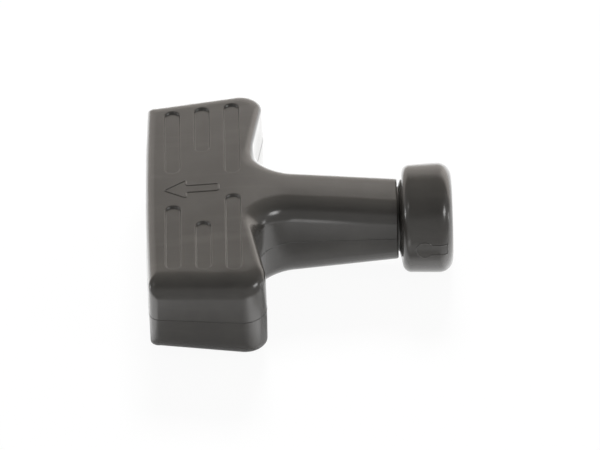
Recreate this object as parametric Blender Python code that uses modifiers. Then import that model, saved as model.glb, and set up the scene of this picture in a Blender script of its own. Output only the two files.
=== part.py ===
"""Recoil starter handle: a T-shaped pull grip moulded in one piece, lying flat.

All lengths are in metres. The shape is worked out along the rope line: x runs from
the palm face to the rim of the collar, y along the crossbar, z up from the parting
plane. An empty on the rope line lifts the handle so that the collar touches z = 0.
"""

import math
from collections import namedtuple

import bmesh
import bpy
from mathutils import Matrix, Vector

# Overall sizes
HANDLE_REACH = 0.1035
GRIP_LENGTH = 0.1095
GRIP_WIDTH = 0.0403
GRIP_THICKNESS = 0.0328

# Crossbar in plan
PALM_SWEEP = math.radians(1.7)
PALM_BOW_MARGIN = 0.0102
PALM_CORNER_RADIUS = 0.0038
END_SLANT = math.radians(6.3)
OUTER_CORNER_RADIUS = 0.0082
LEAST_CORNER_RADIUS = 0.0012
WALL_FLARE = math.radians(9.2)
WAIST_RADIUS = 0.0137

# Crossbar and stem in section
WALL_DRAFT = math.radians(0.5)
END_DRAFT = math.radians(1.5)
PALM_TAPER = math.radians(3.1)
STEM_TAPER = math.radians(5.6)
CREST_SETBACK = 0.0034
CREST_BLEND = 0.0075
PALM_EDGE_RADIUS = 0.0034
END_EDGE_RADIUS = 0.0073
WALL_EDGE_RADIUS = 0.0060
STEM_EDGE_RADIUS = 0.0067
STEM_WIDTH = 0.0231

# Neck and collar
NECK_STEP = 0.0009
NECK_LENGTH = 0.0005
NECK_ROOT_DEPTH = 0.0068
COLLAR_DIAMETER = 0.0371
COLLAR_LENGTH = 0.01795
COLLAR_FLARE = math.radians(2.0)
COLLAR_BACK_SLANT = math.radians(16.0)
COLLAR_BACK_RADIUS = 0.0030
COLLAR_RIM_RADIUS = 0.0048

# Grip slots, in columns on each half of both broad faces, measured on their middle lines
SLOT_WIDTH = 0.0053
SLOT_DEPTH = 0.0009
SLOT_DRAFT = math.radians(6.0)
SLOT_PALM_MARGIN = 0.00955
SLOT_WALL_MARGIN = 0.01056
FAR_SLOT_STARTS = (0.0093, 0.0204, 0.0074)
NEAR_SLOT_STARTS = (0.0088, 0.0184, 0.0045)
FAR_SLOT_END_MARGIN = 0.0083
NEAR_SLOT_END_MARGIN = 0.0091

# Way of the rope: socket in the collar, bore, knot pocket behind the palm
ROPE_BORE_DIAMETER = 0.0070
SOCKET_DIAMETER = 0.0230
SOCKET_DEPTH = 0.0100
SOCKET_DRAFT = math.radians(3.0)
KNOT_POCKET_DIAMETER = 0.0165
KNOT_POCKET_DEPTH = 0.0220
KNOT_POCKET_DRAFT = math.radians(1.0)
KNOT_SEAT_SLOPE = math.radians(30.0)
MOUTH_CHAMFER = 0.0007

# Fineness of the curved faces
EDGE_STEPS = 7
CREST_STEPS = 6
BOW_STEPS = 6
CORNER_STEPS = 6
COLLAR_SEGMENTS = 56
BORE_SEGMENTS = 36
SLOT_SEGMENTS = 22
MERGE = 0.00001

# Sizes that follow from the ones above
HALF_THICKNESS = GRIP_THICKNESS / 2
CREST_X = GRIP_WIDTH - CREST_SETBACK
LOWEST_ROUNDING = HALF_THICKNESS - max(END_EDGE_RADIUS, STEM_EDGE_RADIUS, WALL_EDGE_RADIUS)
COLLAR_START = HANDLE_REACH - COLLAR_LENGTH
STEM_END = COLLAR_START - NECK_LENGTH

# The outer corner's centre, and where the end and the flared wall would cross the axes
OUTER_X = GRIP_WIDTH - OUTER_CORNER_RADIUS
OUTER_Y = GRIP_LENGTH / 2 - OUTER_CORNER_RADIUS
END_Y = OUTER_Y + OUTER_CORNER_RADIUS / math.cos(END_SLANT) - OUTER_X * math.tan(END_SLANT)
WALL_X = OUTER_X + OUTER_CORNER_RADIUS / math.cos(WALL_FLARE) - OUTER_Y * math.tan(WALL_FLARE)
PALM_BEND_Y = (END_Y - PALM_BOW_MARGIN) / 2
PALM_BOW_RADIUS = PALM_BEND_Y / math.tan(PALM_SWEEP / 2)


PlanEdge = namedtuple("PlanEdge", "point heading rounding draft")


def half_thickness(x):
    """Height of the broad face over the rope line: up to the crest, then down the stem."""
    rise = math.tan(PALM_TAPER)
    fall = -math.tan(STEM_TAPER)
    from_crest = x - CREST_X
    if from_crest <= -CREST_BLEND:
        return HALF_THICKNESS + rise * from_crest
    if from_crest >= CREST_BLEND:
        return HALF_THICKNESS + fall * from_crest
    part = (from_crest + CREST_BLEND) / (2 * CREST_BLEND)
    bend = CREST_BLEND * (2 * rise * part + (fall - rise) * part * part)
    return HALF_THICKNESS - rise * CREST_BLEND + bend


def plan_edges():
    """Half outline at the parting plane, walked from the palm's middle to the stem's side."""
    south = math.radians(-90)
    north = math.radians(90)
    palm = (PALM_EDGE_RADIUS, WALL_DRAFT)
    stem = (STEM_EDGE_RADIUS, WALL_DRAFT)
    return [
        PlanEdge(Vector((0, 0)), north, *palm),
        PlanEdge(Vector((0, PALM_BEND_Y)), north - PALM_SWEEP, *palm),
        PlanEdge(Vector((0, END_Y)), END_SLANT, END_EDGE_RADIUS, END_DRAFT),
        PlanEdge(Vector((WALL_X, 0)), south - WALL_FLARE, WALL_EDGE_RADIUS, WALL_DRAFT),
        PlanEdge(Vector((0, STEM_WIDTH / 2)), 0.0, *stem),
    ]


def plan_corners():
    """Radius and number of steps at each corner between two edges."""
    return [
        (PALM_BOW_RADIUS, BOW_STEPS),
        (PALM_CORNER_RADIUS, CORNER_STEPS),
        (OUTER_CORNER_RADIUS, 2 * CORNER_STEPS),
        (WAIST_RADIUS, 2 * CORNER_STEPS),
    ]


def heading_vector(heading):
    return Vector((math.cos(heading), math.sin(heading)))


def crossing(point_a, along_a, point_b, along_b):
    """Where two lines of the plan meet."""
    gap = point_b - point_a
    share = gap.cross(along_b) / along_a.cross(along_b)
    return point_a + along_a * share


def corner_arc(before, after, radius, steps):
    """Arc that rounds the corner between two edges."""
    along = heading_vector(before.heading)
    vertex = crossing(before.point, along, after.point, heading_vector(after.heading))
    turn = (after.heading - before.heading + math.pi) % (2 * math.pi) - math.pi
    start = vertex - along * radius * math.tan(abs(turn) / 2)
    to_centre = Vector((-along.y, along.x)) * math.copysign(radius, turn)
    centre = start + to_centre
    return [centre - Matrix.Rotation(turn * i / steps, 2) @ to_centre for i in range(steps + 1)]


def inset_at(angle, edge):
    """How far an edge has moved in at this angle of its rounding; none on the parting plane."""
    if angle is None:
        return 0.0
    wall = math.tan(edge.draft) * (HALF_THICKNESS - edge.rounding)
    return wall + edge.rounding * (1 - math.cos(angle))


def level_outline(angle):
    """Points of one level's half outline, each with the rounding of the edge it lies on.

    The palm's bow starts on the rope line, so its arc gives the outline's first point.
    """
    edges = plan_edges()
    insets = [inset_at(angle, edge) for edge in edges]
    moved = []
    for edge, inset in zip(edges, insets):
        inward = heading_vector(edge.heading - math.radians(90))
        moved.append(edge._replace(point=edge.point + inward * inset))
    outline = []
    for i, (radius, steps) in enumerate(plan_corners()):
        before, after = moved[i], moved[i + 1]
        inset = min(insets[i], insets[i + 1])
        concave = before.heading < after.heading
        level_radius = radius + inset if concave else max(radius - inset, LEAST_CORNER_RADIUS)
        for k, point in enumerate(corner_arc(before, after, level_radius, steps)):
            outline.append((point, before.rounding + (after.rounding - before.rounding) * k / steps))
    outline.append((Vector((STEM_END, moved[-1].point.y)), moved[-1].rounding))
    outline.append((Vector((STEM_END, 0)), moved[-1].rounding))
    return outline


def level_loop(angle):
    """One level of the quarter body, from the palm's middle round to the stem's end."""
    loop = []
    for point, rounding in level_outline(angle):
        height = 0.0 if angle is None else HALF_THICKNESS - rounding * (1 - math.sin(angle))
        loop.append(Vector((point.x, point.y, height)))
    return loop


def follow_thickness(mesh):
    """Bends the level quarter body to the rising crossbar and the tapering stem."""
    for i in range(CREST_STEPS + 1):
        station = CREST_X + CREST_BLEND * (2 * i / CREST_STEPS - 1)
        geometry = mesh.verts[:] + mesh.edges[:] + mesh.faces[:]
        bmesh.ops.bisect_plane(
            mesh, geom=geometry, dist=2 * MERGE, plane_co=(station, 0, 0), plane_no=(1, 0, 0)
        )
    for vertex in mesh.verts:
        share = min(1.0, vertex.co.z / LOWEST_ROUNDING)
        vertex.co.z += share * (half_thickness(vertex.co.x) - HALF_THICKNESS)


def quarter_body():
    """Upper half of one side of the crossbar and stem, open on both mirror planes."""
    mesh = bmesh.new()
    angles = [None] + [math.radians(90) * i / EDGE_STEPS for i in range(EDGE_STEPS + 1)]
    levels = [[mesh.verts.new(point) for point in level_loop(angle)] for angle in angles]
    for lower, upper in zip(levels, levels[1:]):
        for i in range(len(lower) - 1):
            mesh.faces.new((lower[i], upper[i], upper[i + 1], lower[i + 1]))
    mesh.faces.new(reversed(levels[-1]))
    follow_thickness(mesh)
    return mesh


def arc_points(centre, radius, start, end, steps):
    """Points of an arc as (radius, height) pairs; the angles count from the outward side."""
    points = []
    for i in range(steps + 1):
        angle = start + (end - start) * i / steps
        points.append(centre + heading_vector(angle) * radius)
    return points


def collar_profile():
    """Collar and neck from the rim back into the stem."""
    rim = COLLAR_DIAMETER / 2
    neck = min(STEM_WIDTH / 2, half_thickness(STEM_END)) - NECK_STEP
    root = STEM_END - NECK_ROOT_DEPTH
    square = math.radians(90)
    side_facing = -COLLAR_FLARE
    back_facing = COLLAR_BACK_SLANT - square
    rim_centre = Vector((rim - COLLAR_RIM_RADIUS, HANDLE_REACH - COLLAR_RIM_RADIUS))
    side_inset = COLLAR_RIM_RADIUS - COLLAR_BACK_RADIUS
    on_side = rim_centre + heading_vector(side_facing) * side_inset
    on_back = Vector((neck, COLLAR_START)) - heading_vector(back_facing) * COLLAR_BACK_RADIUS
    along_side = heading_vector(side_facing - square)
    along_back = heading_vector(COLLAR_BACK_SLANT)
    back_centre = crossing(on_side, along_side, on_back, along_back)
    points = [(0, HANDLE_REACH)]
    points += arc_points(rim_centre, COLLAR_RIM_RADIUS, square, side_facing, EDGE_STEPS)
    points += arc_points(back_centre, COLLAR_BACK_RADIUS, side_facing, back_facing, EDGE_STEPS)
    points += [(neck, COLLAR_START), (neck, root), (0, root)]
    return points


def rope_way_profile():
    """Socket, bore and knot pocket as one turned hole, running past both ends."""
    past = MOUTH_CHAMFER
    socket = SOCKET_DIAMETER / 2
    socket_floor = HANDLE_REACH - SOCKET_DEPTH
    bore = ROPE_BORE_DIAMETER / 2
    pocket = KNOT_POCKET_DIAMETER / 2
    pocket_end = pocket - math.tan(KNOT_POCKET_DRAFT) * KNOT_POCKET_DEPTH
    seat = KNOT_POCKET_DEPTH + (pocket_end - bore) * math.tan(KNOT_SEAT_SLOPE)
    return [
        (0, HANDLE_REACH + past),
        (socket + MOUTH_CHAMFER + past, HANDLE_REACH + past),
        (socket, HANDLE_REACH - MOUTH_CHAMFER),
        (socket - math.tan(SOCKET_DRAFT) * SOCKET_DEPTH, socket_floor),
        (bore, socket_floor),
        (bore, seat),
        (pocket_end, KNOT_POCKET_DEPTH),
        (pocket, MOUTH_CHAMFER),
        (pocket + MOUTH_CHAMFER + past, -past),
        (0, -past),
    ]


def slot_shape(mesh, x, start, end):
    """Drafted slot: a cone frustum drawn out along the crossbar, leaning with the broad face."""
    height = 2 * SLOT_DEPTH
    top = SLOT_WIDTH / 2 + math.tan(SLOT_DRAFT) * SLOT_DEPTH
    bottom = top - math.tan(SLOT_DRAFT) * height
    stretch = (abs(end - start) - SLOT_WIDTH) / 2
    made = bmesh.ops.create_cone(
        mesh, cap_ends=True, segments=SLOT_SEGMENTS, radius1=bottom, radius2=top, depth=height
    )
    for vertex in made["verts"]:
        vertex.co.y += math.copysign(stretch, vertex.co.y)
    place = Matrix.Translation((x, (start + end) / 2, half_thickness(x)))
    lean = Matrix.Rotation(-PALM_TAPER, 4, "Y")
    bmesh.ops.transform(mesh, matrix=place @ lean, verts=made["verts"])


def slot_shapes():
    """The slots of the upper face, three on each side of the stem."""
    mesh = bmesh.new()
    far = (1, FAR_SLOT_STARTS, FAR_SLOT_END_MARGIN)
    near = (-1, NEAR_SLOT_STARTS, NEAR_SLOT_END_MARGIN)
    pitch = (GRIP_WIDTH - SLOT_PALM_MARGIN - SLOT_WALL_MARGIN) / (len(FAR_SLOT_STARTS) - 1)
    for side, starts, margin in (far, near):
        for column, start in enumerate(starts):
            x = SLOT_PALM_MARGIN + pitch * column
            end = END_Y + math.tan(END_SLANT) * x - margin
            slot_shape(mesh, x, side * start, side * end)
    return mesh


def add_object(name, mesh_data, collection, rope_line):
    """Links a mesh as an object carried by the rope line's empty."""
    thing = bpy.data.objects.new(name, mesh_data)
    collection.objects.link(thing)
    thing.parent = rope_line
    return thing


def from_bmesh(name, mesh, collection, rope_line):
    data = bpy.data.meshes.new(name)
    mesh.to_mesh(data)
    mesh.free()
    return add_object(name, data, collection, rope_line)


def turned(name, profile, segments, collection, rope_line):
    """Solid of revolution about the rope line; the profile runs from the rim to the palm."""
    data = bpy.data.meshes.new(name)
    vertices = [(radius, 0, height) for radius, height in profile]
    data.from_pydata(vertices, [(i, i + 1) for i in range(len(vertices) - 1)], [])
    thing = add_object(name, data, collection, rope_line)
    thing.rotation_euler.y = math.radians(90)
    screw = thing.modifiers.new("turn", "SCREW")
    screw.axis = "Z"
    screw.steps = segments
    screw.render_steps = segments
    screw.use_merge_vertices = True
    screw.merge_threshold = MERGE
    return thing


def add_mirror(thing, axes):
    mirror = thing.modifiers.new("halves", "MIRROR")
    mirror.use_axis = axes
    mirror.merge_threshold = MERGE


def add_boolean(thing, operation, other):
    boolean = thing.modifiers.new(other.name, "BOOLEAN")
    boolean.operation = operation
    boolean.solver = "EXACT"
    boolean.object = other
    other.hide_render = True
    other.display_type = "WIRE"


def black_plastic():
    """Satin black moulded plastic."""
    material = bpy.data.materials.new("black_plastic")
    material.use_nodes = True
    shader = material.node_tree.nodes["Principled BSDF"]
    shader.inputs["Base Color"].default_value = (0.032, 0.030, 0.027, 1.0)
    shader.inputs["Roughness"].default_value = 0.35
    shader.inputs["Metallic"].default_value = 0.0
    return material


def new_collection(name):
    collection = bpy.data.collections.new(name)
    bpy.context.scene.collection.children.link(collection)
    return collection


def build_handle():
    """Body, collar and rope way, joined and cut into the one moulding."""
    parts = new_collection("recoil_starter_handle")
    cutters = new_collection("cutters")

    rope_line = bpy.data.objects.new("rope_line", None)
    parts.objects.link(rope_line)
    rope_line.location = (-HANDLE_REACH / 2, 0, COLLAR_DIAMETER / 2)

    collar = turned("collar", collar_profile(), COLLAR_SEGMENTS, cutters, rope_line)
    rope_way = turned("rope_way", rope_way_profile(), BORE_SEGMENTS, cutters, rope_line)
    slots = from_bmesh("slots", slot_shapes(), cutters, rope_line)
    add_mirror(slots, (False, False, True))

    handle = from_bmesh("handle", quarter_body(), parts, rope_line)
    handle.data.materials.append(black_plastic())
    handle.data.shade_smooth()
    add_mirror(handle, (False, True, True))
    add_boolean(handle, "UNION", collar)
    add_boolean(handle, "DIFFERENCE", rope_way)
    add_boolean(handle, "DIFFERENCE", slots)


def main():
    for old in list(bpy.data.objects):
        bpy.data.objects.remove(old, do_unlink=True)
    build_handle()


main()
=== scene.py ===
"""Recoil starter handle, black moulded plastic, lying on a pale studio floor."""

import math
from collections import namedtuple

import bmesh
import bpy
import numpy as np
from mathutils import Matrix, Vector
from mathutils.bvhtree import BVHTree
from mathutils.geometry import delaunay_2d_cdt


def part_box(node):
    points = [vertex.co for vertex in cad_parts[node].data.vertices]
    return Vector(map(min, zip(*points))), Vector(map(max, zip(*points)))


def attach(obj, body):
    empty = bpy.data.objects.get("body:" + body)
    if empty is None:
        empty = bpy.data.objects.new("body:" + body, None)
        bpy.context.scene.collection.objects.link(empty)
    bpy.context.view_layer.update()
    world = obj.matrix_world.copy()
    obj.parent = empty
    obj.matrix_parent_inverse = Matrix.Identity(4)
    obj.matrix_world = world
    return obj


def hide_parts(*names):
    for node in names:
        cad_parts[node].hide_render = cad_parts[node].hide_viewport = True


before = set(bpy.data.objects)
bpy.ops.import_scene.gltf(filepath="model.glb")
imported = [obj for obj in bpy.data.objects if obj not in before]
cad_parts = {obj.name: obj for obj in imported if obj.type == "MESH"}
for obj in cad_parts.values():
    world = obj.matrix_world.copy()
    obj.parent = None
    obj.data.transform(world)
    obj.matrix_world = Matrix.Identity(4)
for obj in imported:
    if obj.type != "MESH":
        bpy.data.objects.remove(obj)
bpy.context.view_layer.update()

MM = 0.001

# Overall sizes, read from the frame; x runs from the palm face to the collar's rim
low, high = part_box("handle")
HANDLE_REACH = high.x - low.x
GRIP_LENGTH = high.y - low.y
COLLAR_DIAMETER = high.z - low.z
PALM_X = low.x
ROPE_LINE_Z = (low.z + high.z) / 2

# Crossbar in plan
GRIP_WIDTH = 40.3 * MM
PALM_SWEEP = math.radians(1.7)
PALM_BOW_MARGIN = 10.2 * MM
PALM_CORNER_RADIUS = 3.8 * MM
END_SLANT = math.radians(6.3)
OUTER_CORNER_RADIUS = 8.2 * MM
LEAST_CORNER_RADIUS = 1.2 * MM
WALL_FLARE = math.radians(9.2)
WAIST_RADIUS = 13.7 * MM
WAIST_BLEND = 0.4  # share of the waist's turn in which the wall's rounding becomes the stem's
STEM_WIDTH = 23.1 * MM

# Crossbar and stem in section
GRIP_THICKNESS = 32.8 * MM
WALL_DRAFT = math.radians(0.5)
END_DRAFT = math.radians(1.5)
PALM_TAPER = math.radians(3.1)
STEM_TAPER = math.radians(5.6)
CREST_SETBACK = 3.4 * MM
CREST_BLEND = 7.5 * MM
PALM_EDGE_RADIUS = 3.4 * MM
END_EDGE_RADIUS = 7.3 * MM
WALL_EDGE_RADIUS = 3.1 * MM
STEM_EDGE_RADIUS = 6.7 * MM
STEM_CROWN = 0.3 * MM
STEM_CROWN_REACH = 7.5 * MM
STEM_CROWN_RUN = 14 * MM
STEM_CROWN_FADE = 8  # power by which the crown fades down the sides
STEM_END_RADIUS = 0.60 * MM

# Neck and collar
NECK_STEP = 0.55 * MM
NECK_LENGTH = 0.5 * MM
NECK_ROOT_DEPTH = 6.8 * MM
COLLAR_LENGTH = 17.95 * MM
COLLAR_FLARE = math.radians(2.0)
COLLAR_BACK_SLANT = math.radians(11.0)
COLLAR_BACK_RADIUS = 3.0 * MM
COLLAR_RIM_RADIUS = 4.8 * MM

# Grip slots
SLOT_WIDTH = 5.3 * MM
SLOT_DEPTH = 0.8 * MM
SLOT_PALM_MARGIN = 9.55 * MM
SLOT_WALL_MARGIN = 10.56 * MM
FAR_SLOT_STARTS = (9.3 * MM, 20.4 * MM, 7.4 * MM)
NEAR_SLOT_STARTS = (8.8 * MM, 18.4 * MM, 4.5 * MM)
FAR_SLOT_END_MARGIN = 8.3 * MM
NEAR_SLOT_END_MARGIN = 9.1 * MM
SLOT_LIP_RADIUS = 0.36 * MM
SLOT_FOOT_RADIUS = 0.42 * MM
SLOT_DRAFT = math.radians(14.0)
SLOT_END_LEAN = 0.5  # how far the far end is set back for each depth

# Way of the rope
ROPE_BORE_DIAMETER = 7.0 * MM
SOCKET_DIAMETER = 23.0 * MM
SOCKET_DEPTH = 10.0 * MM
SOCKET_DRAFT = math.radians(3.0)
KNOT_POCKET_DIAMETER = 16.5 * MM
KNOT_POCKET_DEPTH = 22.0 * MM
KNOT_POCKET_DRAFT = math.radians(1.0)
KNOT_SEAT_SLOPE = math.radians(30.0)
MOUTH_RADIUS = 0.7 * MM
MOUTH_TURN = math.radians(80.0)

# Parting line: a low bead, and the lower half a trace off the upper one
BEAD_HEIGHT = 0.08 * MM
BEAD_HALF_WIDTH = 0.18 * MM
HALF_MISMATCH = 0.05 * MM

# Fine raised lines: a keyhole-shaped mould mark on the collar and a plain arrow on top
MARK_RING_X = 93.73 * MM
MARK_RING_RADIUS = 3.0 * MM
MARK_BAR_END = 101.4 * MM
MARK_BAR_HALF_WIDTH = 1.95 * MM
MARK_LINE_RADIUS = 0.32 * MM
MARK_LINE_HEIGHT = 0.20 * MM
ARROW_TIP_X = 6.5 * MM
ARROW_HEAD_X = 14.0 * MM
ARROW_TAIL_X = 25.0 * MM
ARROW_HEAD_HALF_WIDTH = 4.9 * MM
ARROW_SHAFT_HALF_WIDTH = 1.9 * MM
ARROW_CORNER = 0.9 * MM
ARROW_LINE_RADIUS = 0.42 * MM
ARROW_LINE_HEIGHT = 0.24 * MM

# Sizes that follow from the ones above
HALF_THICKNESS = GRIP_THICKNESS / 2
CREST_X = GRIP_WIDTH - CREST_SETBACK
LOWEST_ROUNDING = HALF_THICKNESS - max(END_EDGE_RADIUS, STEM_EDGE_RADIUS, WALL_EDGE_RADIUS)
COLLAR_START = HANDLE_REACH - COLLAR_LENGTH
STEM_END = COLLAR_START - NECK_LENGTH
OUTER_X = GRIP_WIDTH - OUTER_CORNER_RADIUS
OUTER_Y = GRIP_LENGTH / 2 - OUTER_CORNER_RADIUS
END_Y = OUTER_Y + OUTER_CORNER_RADIUS / math.cos(END_SLANT) - OUTER_X * math.tan(END_SLANT)
WALL_X = OUTER_X + OUTER_CORNER_RADIUS / math.cos(WALL_FLARE) - OUTER_Y * math.tan(WALL_FLARE)
PALM_BEND_Y = (END_Y - PALM_BOW_MARGIN) / 2
PALM_BOW_RADIUS = PALM_BEND_Y / math.tan(PALM_SWEEP / 2)
SKIN_INSET = BEAD_HEIGHT + HALF_MISMATCH / 2

# Fineness of the mesh
STRETCH_LENGTH = 1.3 * MM
SUPPORT_WIDTH = 0.15 * MM
PARTING_GAP = 0.01 * MM
FILLER_SPACING = 2.2 * MM
FILLER_CLEARANCE = 0.45 * FILLER_SPACING
BEAD_STEPS = 4
EDGE_STEPS = 16
FACE_LEVEL = BEAD_STEPS + 10  # the ring at which triangles take over from the wall's quads
LIP_STEPS = 5
SLOT_END_STEPS = 18
COLLAR_SEGMENTS = 144
BORE_SEGMENTS = 96
MARK_RING_STEPS = 36
ARROW_CORNER_STEPS = 4
LINE_STATION = 0.5 * MM
LINE_SIDES = 10
MERGE = 0.001 * MM
PLAN_TOLERANCE = 1e-5  # in millimetres, for the triangles of the plan
SMOOTH_ANGLE = math.radians(32)
SHADING_WEIGHT = 80
RAY_START = 100 * MM  # clear of the handle, for the rays that find a raised line's place

# Radius and steps of each corner of the half outline, from the palm's bow to the waist
PLAN_CORNERS = (
    (PALM_BOW_RADIUS, 12),
    (PALM_CORNER_RADIUS, 14),
    (OUTER_CORNER_RADIUS, 26),
    (WAIST_RADIUS, 30),
)

# Black plastic: the darker and the duller patches of its skin, and how rough each is
PLASTIC_DARK = (0.046, 0.0425, 0.038, 1.0)
PLASTIC_DULL = (0.054, 0.050, 0.0445, 1.0)
PLASTIC_ROUGHNESS = (0.20, 0.25)
PLASTIC_IOR = 1.65
FLOW_PALENESS = 1.5

# Moulded grain: its values for the plastic, and each noise as scale, detail and roughness
GRAIN_SETTINGS = {"Grain Size": 2200.0, "Grain Depth": 0.16, "Flow": 0.35}
GRAIN_NOISE = (1.0, 3.0, 0.6)
PATCH_NOISE = (46.0, 4.0, 0.55)
SWELL_NOISE = (150.0, 2.0, 0.5)
FLOW_NOISE = (1.0, 3.0, 0.6)
FLOW_STRETCH = (18.0, 150.0, 110.0)
PATCH_RANGE = (0.38, 0.66)
FLOW_RANGE = (0.50, 0.78)
GRAIN_RELIEF = 0.012 * MM

# Camera, as the photograph was taken
IMAGE_SIZE = (600, 450)
CAMERA_ELEVATION = math.radians(37.592)
CAMERA_AZIMUTH = math.radians(-0.114)
CAMERA_ROLL = math.radians(-1.625)
CAMERA_DISTANCE = 2510.7 * MM
CAMERA_CLIP = (0.1, 50.0)
SENSOR_WIDTH = 36.0
ORIGIN_PIXEL = (300.22, 264.63)
PIXELS_PER_MM = 2.9469

# Even light on the handle, and the dim room that it mirrors, darker overhead
AMBIENT_RADIANCE = 0.34
ROOM_RADIANCE = 0.5
ROOF_RADIANCE = 0.2
ROOF_RANGE = (0.45, 0.75)

# White wall behind the handle, which only its reflections show. It fades upwards, reaches
# higher away from a dip on the left, and is brighter on the right
WALL_DISTANCE = 0.33
WALL_WIDTH = 2.0
WALL_HEIGHT = 0.60
WALL_RADIANCE = 1.12
WALL_FADE_RANGE = (0.20, 0.40)
WALL_DIP_X = -0.06
WALL_DIP_REACH = 0.13
WALL_DIP_SHIFTS = (0.02, -0.03)
WALL_BRIGHT_RANGE = (0.12, 0.20)
WALL_BRIGHT_GAIN = 1.6
WARM_WHITE = (1.0, 0.94, 0.89, 1.0)

# White floor, and how white the camera and the handle's reflections see it
FLOOR_SIZE = 12.0
FLOOR_COLOUR = (0.9, 0.9, 0.9, 1.0)
FLOOR_ROUGHNESS = 0.8
FLOOR_WHITE_SHARE = 0.94
FLOOR_MIRROR_SHARE = 0.2

# Painted pools of light on the floor, brighter than white, which only the handle's reflections
# see, and where each begins and is full, in x or in y: under the stem, behind, on the left, and in
# front between the crossbar and the collar
UNDER_GAIN = 3.9
UNDER_POOL_Y = (-0.031, -0.022)
BEHIND_GAIN = 5.6
BEHIND_POOL_Y = (-0.010, 0.020)
BEHIND_FADE_X = (0.035, 0.055)
BEHIND_FADE_SHARE = 0.3
SIDE_GAIN = 5.6
LEFT_POOL_X = (-0.066, -0.056)
FRONT_POOL_X = (-0.012, 0.004)
FRONT_POOL_END_X = (0.010, 0.020)
FRONT_POOL_END_Y = (-0.057, -0.049)

# Painted shade in reflections: past this line in front of the handle the mirrored floor is painted
# as dim as the room, though the sheet goes on. It runs closer past the stem
MIRROR_SHADE_Y = (-0.125, -0.095)
MIRROR_SHADE_SHIFT = 0.045
MIRROR_SHADE_SHIFT_X = (0.014, 0.024)

# Lamps round the handle: azimuth from the back to the right and elevation in degrees,
# distance and size in metres, and whether the handle mirrors them
Lamp = namedtuple("Lamp", "name azimuth elevation distance size radiance mirrored")
LAMPS = (
    Lamp("key", 5, 43, 1.6, (0.5, 0.4), 49.0, False),
    Lamp("right_strip", 94, 4, 1.5, (0.16, 0.26), 5.0, True),
    Lamp("left_strip", -94, 8, 1.5, (0.16, 0.40), 15.0, True),
    Lamp("right_lamp", 120, 32, 1.2, (0.34, 0.26), 6.5, True),
    Lamp("left_lamp", -125, 51, 1.2, (0.12, 0.12), 8.0, True),
)

PlanEdge = namedtuple("PlanEdge", "point heading rounding draft")


def eased_share(share):
    """Share that starts and ends gently, and stays 1 from there on."""
    share = min(1.0, share)
    return share * share * (3 - 2 * share)


def half_thickness(x):
    """Height of the broad face over the rope line: up to the crest, then down the stem."""
    rise = math.tan(PALM_TAPER)
    fall = -math.tan(STEM_TAPER)
    from_crest = x - CREST_X
    if from_crest <= -CREST_BLEND:
        return HALF_THICKNESS + rise * from_crest
    if from_crest >= CREST_BLEND:
        return HALF_THICKNESS + fall * from_crest
    part = (from_crest + CREST_BLEND) / (2 * CREST_BLEND)
    bend = CREST_BLEND * (2 * rise * part + (fall - rise) * part * part)
    return HALF_THICKNESS - rise * CREST_BLEND + bend


def stem_crown(x, y):
    """How far the stem's broad face swells over its middle."""
    run = eased_share(max(0.0, (x - CREST_X) / STEM_CROWN_RUN))
    across = min(1.0, abs(y) / STEM_CROWN_REACH)
    return STEM_CROWN * run * (1 - across * across) ** 2


def heading_vector(heading):
    """Unit vector of the plan along a heading."""
    return Vector((math.cos(heading), math.sin(heading)))


def crossing(point_a, along_a, point_b, along_b):
    """Where two lines of the plan meet."""
    gap = point_b - point_a
    share = gap.cross(along_b) / along_a.cross(along_b)
    return point_a + along_a * share


def plan_edges():
    """Half outline at the parting plane, walked from the palm's middle to the stem's side."""
    south = math.radians(-90)
    north = math.radians(90)
    palm = (PALM_EDGE_RADIUS, WALL_DRAFT)
    stem = (STEM_EDGE_RADIUS, WALL_DRAFT)
    return [
        PlanEdge(Vector((0, 0)), north, *palm),
        PlanEdge(Vector((0, PALM_BEND_Y)), north - PALM_SWEEP, *palm),
        PlanEdge(Vector((0, END_Y)), END_SLANT, END_EDGE_RADIUS, END_DRAFT),
        PlanEdge(Vector((WALL_X, 0)), south - WALL_FLARE, WALL_EDGE_RADIUS, WALL_DRAFT),
        PlanEdge(Vector((0, STEM_WIDTH / 2)), 0.0, *stem),
    ]


def corner_arc(before, after, radius, steps):
    """Arc that rounds the corner between two edges."""
    along = heading_vector(before.heading)
    vertex = crossing(before.point, along, after.point, heading_vector(after.heading))
    turn = (after.heading - before.heading + math.pi) % (2 * math.pi) - math.pi
    start = vertex - along * radius * math.tan(abs(turn) / 2)
    to_centre = Vector((-along.y, along.x)) * math.copysign(radius, turn)
    centre = start + to_centre
    return [centre - Matrix.Rotation(turn * i / steps, 2) @ to_centre for i in range(steps + 1)]


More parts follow.
